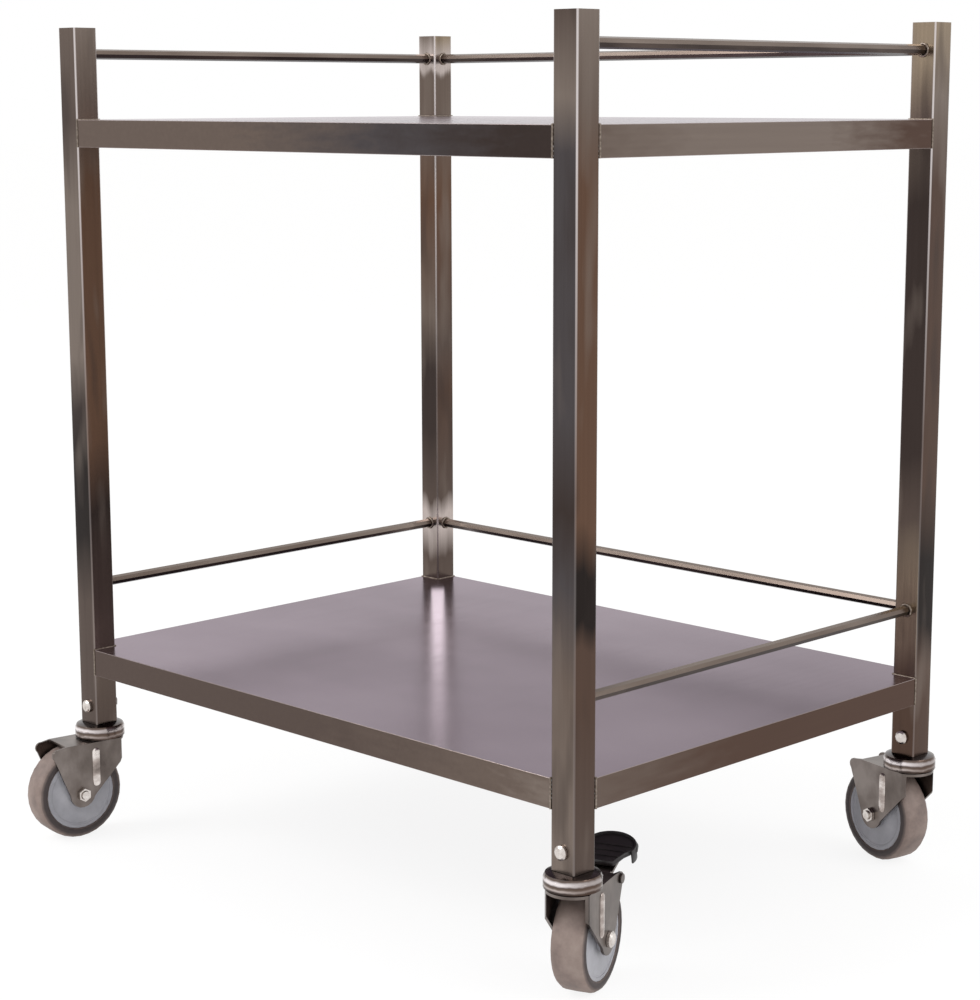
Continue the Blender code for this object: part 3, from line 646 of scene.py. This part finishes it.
def brake_matrix(corner):
    """From a brake pedal's own sloping axes, with the pin at nought, to the frame."""
    swivel = CASTORS[corner][0]
    pin = Vector(joints["brake_press_" + corner]["pos_m"])
    out = math.hypot(pin.x - swivel.x, pin.y - swivel.y)
    slope = Matrix.Rotation(-math.radians(PEDAL_SLOPE), 4, "Y")
    return castor_matrix(corner) @ Matrix.Translation((out, 0, pin.z)) @ slope


print("helpers ready for", len(CORNERS), "castors and", len(BRAKED), "brakes")

# %% [markdown]
# Each guard rod is welded to the posts all round its end. A bead is a small torus whose ring is
# pushed in and out a little, as hand-laid weld is, and one bead is copied to every rod end.

# %% Weld beads at the rod ends
ROD_LOW, ROD_HIGH = (Vector(corner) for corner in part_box("guard_rod_upper_back"))
ROD_RADIUS = (ROD_HIGH.z - ROD_LOW.z) / 2
BEAD_RADIUS = 0.0013
BEAD_STANDS = 0.45


def model_bead():
    clear_selection()
    bpy.ops.mesh.primitive_torus_add(major_radius=ROD_RADIUS + BEAD_RADIUS * BEAD_STANDS,
                                     minor_radius=BEAD_RADIUS, major_segments=36, minor_segments=8)
    bead = bpy.context.object
    for vertex in bead.data.vertices:
        around = math.atan2(vertex.co.y, vertex.co.x)
        vertex.co *= 1 + 0.035 * math.sin(around * 9) + 0.02 * math.sin(around * 17)
    bpy.ops.object.mode_set(mode="EDIT")
    bpy.ops.mesh.select_all(action="SELECT")
    bpy.ops.mesh.vertices_smooth(factor=0.3, repeat=1)
    bpy.ops.object.mode_set(mode="OBJECT")
    return bead


def place_beads():
    model = model_bead()
    count = 0
    for name in sorted(nodes):
        if not name.startswith("guard_rod"):
            continue
        low, high = (Vector(corner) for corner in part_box(name))
        axis = 0 if high.x - low.x > high.y - low.y else 1
        middle = (low + high) / 2
        for end in (low, high):
            place = middle.copy()
            place[axis] = end[axis]
            turn = Matrix.Rotation(math.pi / 2, 4, "Y" if axis == 0 else "X")
            bead = copy_to(model, Matrix.Translation(place) @ turn)
            tag = "low" if end is low else "high"
            settle(bead, "weld_" + name + "_" + tag, "frame", weld_steel, 60)
            count += 1
    bpy.data.objects.remove(model, do_unlink=True)
    return count


print("weld beads:", place_beads())

# %% [markdown]
# The hub's face is closed by a moulded disc: flat at the rim, sunk in a shallow ring, and raised
# again round the boss. It starts as a thin cylinder whose face is inset four times, and the last
# three insets also move it in or out.

# %% Hub discs
DISC_RADIUS = 0.0322
DISC_FACE = 0.0132
DISC_THICK = 0.0016
DISC_STEPS = ((0.0012, 0.0), (0.0010, -0.0006), (0.0090, -0.0002), (0.0016, 0.0005))
DISC_EDGE = 0.0003


def select_top_face(piece):
    bpy.ops.mesh.select_all(action="DESELECT")
    bpy.ops.object.mode_set(mode="OBJECT")
    for face in piece.data.polygons:
        face.select = face.normal.z > 0.9
    bpy.ops.object.mode_set(mode="EDIT")


def model_disc():
    clear_selection()
    bpy.ops.mesh.primitive_cylinder_add(vertices=64, radius=DISC_RADIUS, depth=DISC_THICK)
    disc = bpy.context.object
    bpy.ops.object.mode_set(mode="EDIT")
    bpy.ops.mesh.select_mode(type="FACE")
    select_top_face(disc)
    for step, lift in DISC_STEPS:
        bpy.ops.mesh.inset(thickness=step, depth=lift)
    bpy.ops.object.mode_set(mode="OBJECT")
    bevel = disc.modifiers.new("edge", "BEVEL")
    bevel.width = DISC_EDGE
    bevel.segments = 2
    bevel.limit_method = "ANGLE"
    bevel.angle_limit = math.radians(25)
    bpy.ops.object.modifier_apply(modifier="edge")
    return disc


def place_discs():
    model = model_disc()
    for corner in CORNERS:
        swivel, wheel, _ = CASTORS[corner]
        distance = math.hypot(wheel.x - swivel.x, wheel.y - swivel.y)
        for side, tag in SIDES:
            out = side * (DISC_FACE - DISC_THICK / 2)
            face = Matrix.Rotation(-side * math.pi / 2, 4, "X")
            local = Matrix.Translation((distance, out, wheel.z)) @ face
            disc = copy_to(model, castor_matrix(corner) @ local)
            settle(disc, "hub_disc_" + corner + "_" + tag, "wheel_" + corner,
                   hub_plastic, 30)
    bpy.data.objects.remove(model, do_unlink=True)
    return len(CORNERS) * len(SIDES)


print("hub discs:", place_discs())

# %% [markdown]
# A rib is pressed down each fork leg to stiffen it. Its plating is painted much lighter than
# the fork's, as a painted highlight that makes a bright vertical line. It is half a rod with
# round ends: a sphere stretched along the leg and cut in two by bisect.

# %% Pressed ribs on the forks
RIB_LENGTH = 0.030
RIB_RADIUS = 0.0042
RIB_HEIGHT = 0.0016
RIB_SINK = 0.0002
RIB_ALONG = 0.0150
FORK_OUTSIDE = 0.0193
RIB_RISE = 0.0700


def model_rib():
    clear_selection()
    bpy.ops.mesh.primitive_uv_sphere_add(segments=24, ring_count=16, radius=RIB_RADIUS)
    rib = bpy.context.object
    for vertex in rib.data.vertices:
        vertex.co.z += math.copysign(RIB_LENGTH / 2, vertex.co.z) if abs(vertex.co.z) > 1e-6 else 0
        vertex.co.y *= RIB_HEIGHT / RIB_RADIUS
    bpy.ops.object.mode_set(mode="EDIT")
    bpy.ops.mesh.select_all(action="SELECT")
    bpy.ops.mesh.bisect(plane_co=(0, -RIB_SINK, 0), plane_no=(0, 1, 0), clear_inner=True, use_fill=True)
    bpy.ops.object.mode_set(mode="OBJECT")
    return rib


def place_ribs():
    model = model_rib()
    for corner in CORNERS:
        for side, tag in SIDES:
            flip = Matrix.Rotation(0 if side > 0 else math.pi, 4, "Z")
            local = Matrix.Translation((RIB_ALONG, side * FORK_OUTSIDE, RIB_RISE)) @ flip
            rib = copy_to(model, castor_matrix(corner) @ local)
            settle(rib, "fork_rib_" + corner + "_" + tag, "swivel_" + corner,
                   rib_painted_highlight, 50)
    bpy.data.objects.remove(model, do_unlink=True)
    return len(CORNERS) * len(SIDES)


print("fork ribs:", place_ribs())

# %% [markdown]
# The trays are welded into the posts along every edge of their notched corners. A seam is a thin
# cylinder cut into short rings, with every second ring drawn in, as if laid in small steps. The
# four seams of a corner are joined into one piece.

# %% Weld seams at the tray corners
SEAM_RADIUS = 0.0010
SEAM_CUTS = 13
SEAM_WAIST = 0.8
SEAM_LENGTH = POST_HIGH.x - POST_LOW.x


def model_seam():
    clear_selection()
    bpy.ops.mesh.primitive_cylinder_add(vertices=10, radius=SEAM_RADIUS, depth=SEAM_LENGTH)
    seam = bpy.context.object
    bpy.ops.object.mode_set(mode="EDIT")
    bpy.ops.mesh.select_mode(type="EDGE")
    bpy.ops.mesh.select_all(action="DESELECT")
    bpy.ops.object.mode_set(mode="OBJECT")
    for edge in seam.data.edges:
        ends = [seam.data.vertices[i].co.z for i in edge.vertices]
        edge.select = abs(ends[0] - ends[1]) > SEAM_LENGTH / 2
    bpy.ops.object.mode_set(mode="EDIT")
    bpy.ops.mesh.subdivide(number_cuts=SEAM_CUTS)
    bpy.ops.object.mode_set(mode="OBJECT")
    step = SEAM_LENGTH / (SEAM_CUTS + 1)
    for vertex in seam.data.vertices:
        if round((vertex.co.z + SEAM_LENGTH / 2) / step) % 2:
            vertex.co.x *= SEAM_WAIST
            vertex.co.y *= SEAM_WAIST
    return seam


def place_seams():
    model = model_seam()
    lay_x = Matrix.Rotation(math.pi / 2, 4, "Y")
    lay_y = Matrix.Rotation(math.pi / 2, 4, "X")
    count = 0
    for tray in ("tray_lower", "tray_upper"):
        low, high = (Vector(corner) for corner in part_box(tray))
        middle = (low.z + high.z) / 2
        for corner in CORNERS:
            x = 1 if corner.endswith("right") else -1
            y = 1 if corner.startswith("back") else -1
            edge_x = x * high.x
            edge_y = y * high.y
            notch_x = x * (high.x - SEAM_LENGTH)
            notch_y = y * (high.y - SEAM_LENGTH)
            places = [Matrix.Translation((notch_x, edge_y, middle)),
                      Matrix.Translation((edge_x, notch_y, middle)),
                      Matrix.Translation(((notch_x + edge_x) / 2, notch_y, high.z)) @ lay_x,
                      Matrix.Translation((notch_x, (notch_y + edge_y) / 2, high.z)) @ lay_y]
            seams = [copy_to(model, place) for place in places]
            clear_selection()
            for seam in seams:
                seam.select_set(True)
            bpy.context.view_layer.objects.active = seams[0]
            bpy.ops.object.join()
            settle(seams[0], "weld_" + tray + "_" + corner, "frame", weld_steel, 60)
            count += 1
    bpy.data.objects.remove(model, do_unlink=True)
    return count


print("weld seams:", place_seams())

# %% [markdown]
# The pressed housing is rolled over at its foot, where it closes on the fork's crown, and again
# half way up. Each roll is a ring of round section, flush with the housing's widest line.

# %% Rolled edges of the housings
ROLL_RADIUS = 0.0014
ROLL_RISES = (("foot", ROLL_RADIUS), ("band", 0.0078))


def place_rolls():
    for corner in CORNERS:
        swivel = CASTORS[corner][0]
        low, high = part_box("castor_stem_" + corner)
        radius = (high[0] - low[0]) / 2
        for tag, rise in ROLL_RISES:
            clear_selection()
            bpy.ops.mesh.primitive_torus_add(major_radius=radius - ROLL_RADIUS, minor_radius=ROLL_RADIUS,
                                             major_segments=56, minor_segments=12,
                                             location=(swivel.x, swivel.y, HOUSING_FOOT + rise))
            settle(bpy.context.object, "housing_" + tag + "_" + corner, "frame",
                   housing_plating, 60)
    return len(CORNERS) * len(ROLL_RISES)


print("housing rolls:", place_rolls())

# %% [markdown]
# The moulded pedal has a lip turned down round its toe, which makes it look thick from the side. It
# is the wall of a stretched cylinder, cut off behind the pedal's shoulder and thickened inwards.

# %% Pedal lips
LIP_CENTRE = 0.0304
LIP_LENGTH = 0.0166
LIP_WIDTH = 0.0222
LIP_DEPTH = 0.0140
LIP_WALL = 0.0018
LIP_TOP = 0.0085
LIP_CUT_SHARE = 0.35
LIP_DRAFT = (0.94, 0.95)
LIP_EDGE = 0.0005


def model_lip():
    clear_selection()
    bpy.ops.mesh.primitive_cylinder_add(vertices=64, radius=1, depth=LIP_DEPTH, end_fill_type="NOTHING")
    lip = bpy.context.object
    lip.scale = (LIP_LENGTH, LIP_WIDTH, 1)
    bpy.ops.object.transform_apply(location=False, rotation=False, scale=True)
    bpy.ops.object.mode_set(mode="EDIT")
    bpy.ops.mesh.select_all(action="SELECT")
    bpy.ops.mesh.bisect(plane_co=(-LIP_LENGTH * LIP_CUT_SHARE, 0, 0), plane_no=(1, 0, 0), clear_inner=True)
    bpy.ops.object.mode_set(mode="OBJECT")
    wall = lip.modifiers.new("wall", "SOLIDIFY")
    wall.thickness = LIP_WALL
    wall.offset = -1
    bpy.ops.object.modifier_apply(modifier="wall")
    for vertex in lip.data.vertices:
        if vertex.co.z < 0:
            vertex.co.x *= LIP_DRAFT[0]
            vertex.co.y *= LIP_DRAFT[1]
    round_off = lip.modifiers.new("round", "BEVEL")
    round_off.width = LIP_EDGE
    round_off.segments = 2
    round_off.limit_method = "ANGLE"
    round_off.angle_limit = math.radians(40)
    bpy.ops.object.modifier_apply(modifier="round")
    return lip


def place_lips():
    model = model_lip()
    for corner in BRAKED:
        local = Matrix.Translation((LIP_CENTRE, 0, LIP_TOP - LIP_DEPTH / 2))
        lip = copy_to(model, brake_matrix(corner) @ local)
        settle(lip, "pedal_lip_" + corner, "brake_" + corner, pedal_plastic, 35)
    bpy.data.objects.remove(model, do_unlink=True)
    return len(BRAKED)


print("pedal lips:", place_lips())

# %% [markdown]
# The brake pedal has three low ribs across it for the shoe to grip. Each is a thin bar with its
# edges rounded, set on the pedal's sloping face in the brake's own axes.

# %% Pedal ribs
PEDAL_FACE = 0.0068
PEDAL_RIBS = ((0.0175, 0.022), (0.0245, 0.030), (0.0315, 0.036))
PEDAL_RIB_WIDTH = 0.0016
PEDAL_RIB_HEIGHT = 0.0012
PEDAL_RIB_EDGE = 0.0004


def model_pedal_rib(length):
    clear_selection()
    bpy.ops.mesh.primitive_cube_add(size=1)
    rib = bpy.context.object
    rib.scale = (PEDAL_RIB_WIDTH, length, PEDAL_RIB_HEIGHT)
    bpy.ops.object.transform_apply(location=False, rotation=False, scale=True)
    bpy.ops.object.mode_set(mode="EDIT")
    bpy.ops.mesh.select_all(action="SELECT")
    bpy.ops.mesh.bevel(offset=PEDAL_RIB_EDGE, segments=2, affect="EDGES")
    bpy.ops.object.mode_set(mode="OBJECT")
    return rib


def place_pedal_ribs():
    for corner in BRAKED:
        for number, (along, length) in enumerate(PEDAL_RIBS):
            model = model_pedal_rib(length)
            rib = copy_to(model, brake_matrix(corner) @ Matrix.Translation((along, 0, PEDAL_FACE)))
            bpy.data.objects.remove(model, do_unlink=True)
            settle(rib, "pedal_rib_" + corner + "_" + str(number), "brake_" + corner,
                   pedal_plastic, 30)
    return len(BRAKED) * len(PEDAL_RIBS)


print("pedal ribs:", place_pedal_ribs())
